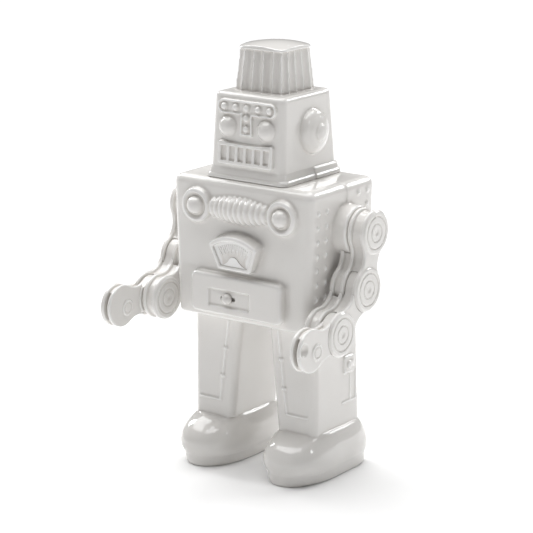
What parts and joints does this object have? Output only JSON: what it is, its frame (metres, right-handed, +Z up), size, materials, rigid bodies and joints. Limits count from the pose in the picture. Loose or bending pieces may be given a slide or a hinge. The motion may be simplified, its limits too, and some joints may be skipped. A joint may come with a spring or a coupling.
{
  "type": "toy robot figure",
  "caption": "Standing toy-style robot figure with a fluted crown, dial and switch on its chest, ribbed side arms on round pivots and bulbous boots.",
  "frame": {"origin": "middle of the footprint box, on the floor plane under the soles", "axes": "+Z up, the face looks along -Y, +X is the robot's own left side"},
  "size_m": [0.168, 0.1319, 0.302],
  "materials": {
    "white_glaze": "gloss",
    "plain_steel": "satin"
  },
  "bodies": {
    "torso": {"chest_coil": "white_glaze", "control_panel": "white_glaze", "gauge_dial": "white_glaze", "gauge_housing": "white_glaze", "left_chest_boss": "white_glaze", "left_leg_column": "white_glaze", "left_leg_latch": "white_glaze", "left_shoe_sole": "white_glaze", "left_shoe_upper": "white_glaze", "left_shoulder_clip": "plain_steel", "left_shoulder_hub": "white_glaze", "left_shoulder_pin": "plain_steel", "left_side_rivets": "white_glaze", "leg_bolts": "plain_steel", "neck_post": "white_glaze", "neck_screw": "plain_steel", "neck_washer": "plain_steel", "right_chest_boss": "white_glaze", "right_leg_column": "white_glaze", "right_leg_latch": "white_glaze", "right_shoe_sole": "white_glaze", "right_shoe_upper": "white_glaze", "right_shoulder_clip": "plain_steel", "right_shoulder_hub": "white_glaze", "right_shoulder_pin": "plain_steel", "right_side_rivets": "white_glaze", "torso_back_shell": "white_glaze", "torso_front_shell": "white_glaze", "torso_screws": "plain_steel"},
    "head": {"head_front_shell": "white_glaze", "head_back_shell": "white_glaze", "neck_skirt": "white_glaze", "brow_plate": "white_glaze", "brow_lamps": "white_glaze", "left_eye": "white_glaze", "right_eye": "white_glaze", "mouth_grille": "white_glaze", "left_ear": "white_glaze", "right_ear": "white_glaze", "crown_comb": "white_glaze", "crown_cap": "white_glaze"},
    "switch": {"switch_knob": "white_glaze"},
    "left_upper_arm": {"left_upper_arm": "white_glaze", "left_upper_arm_caps": "white_glaze", "left_elbow_pin": "plain_steel"},
    "left_forearm": {"left_forearm": "white_glaze", "left_forearm_caps": "white_glaze", "left_wrist_pin": "plain_steel"},
    "left_hand": {"left_hand": "white_glaze", "left_hand_caps": "white_glaze"},
    "right_upper_arm": {"right_upper_arm": "white_glaze", "right_upper_arm_caps": "white_glaze", "right_elbow_pin": "plain_steel"},
    "right_forearm": {"right_forearm": "white_glaze", "right_forearm_caps": "white_glaze", "right_wrist_pin": "plain_steel"},
    "right_hand": {"right_hand": "white_glaze", "right_hand_caps": "white_glaze"}
  },
  "joints": [
    {"name": "head_turn", "type": "hinge", "parent": "torso", "child": "head", "pos_m": [0, 0.02411, 0.2165], "axis": [0, 0, 1], "range_deg": [-90, 90]},
    {"name": "left_shoulder", "type": "hinge", "parent": "torso", "child": "left_upper_arm", "pos_m": [0.0765, 0.02711, 0.178], "axis": [-1, 0, 0], "range_deg": [-45, 120]},
    {"name": "left_elbow", "type": "hinge", "parent": "left_upper_arm", "child": "left_forearm", "pos_m": [0.0765, 0.01861, 0.14], "axis": [-1, 0, 0], "range_deg": [-35, 40]},
    {"name": "left_wrist", "type": "hinge", "parent": "left_forearm", "child": "left_hand", "pos_m": [0.0765, -0.01239, 0.1155], "axis": [-1, 0, 0], "range_deg": [-30, 40]},
    {"name": "right_shoulder", "type": "hinge", "parent": "torso", "child": "right_upper_arm", "pos_m": [-0.0765, 0.02711, 0.178], "axis": [-1, 0, 0], "range_deg": [-50, 115]},
    {"name": "right_elbow", "type": "hinge", "parent": "right_upper_arm", "child": "right_forearm", "pos_m": [-0.0765, 0.01546, 0.14084], "axis": [-1, 0, 0], "range_deg": [-35, 40]},
    {"name": "right_wrist", "type": "hinge", "parent": "right_forearm", "child": "right_hand", "pos_m": [-0.0765, -0.01748, 0.11902], "axis": [-1, 0, 0], "range_deg": [-30, 40]},
    {"name": "switch_slide", "type": "slide", "parent": "torso", "child": "switch", "axis": [1, 0, 0], "range_m": [-0.004, 0.004]}
  ]
}
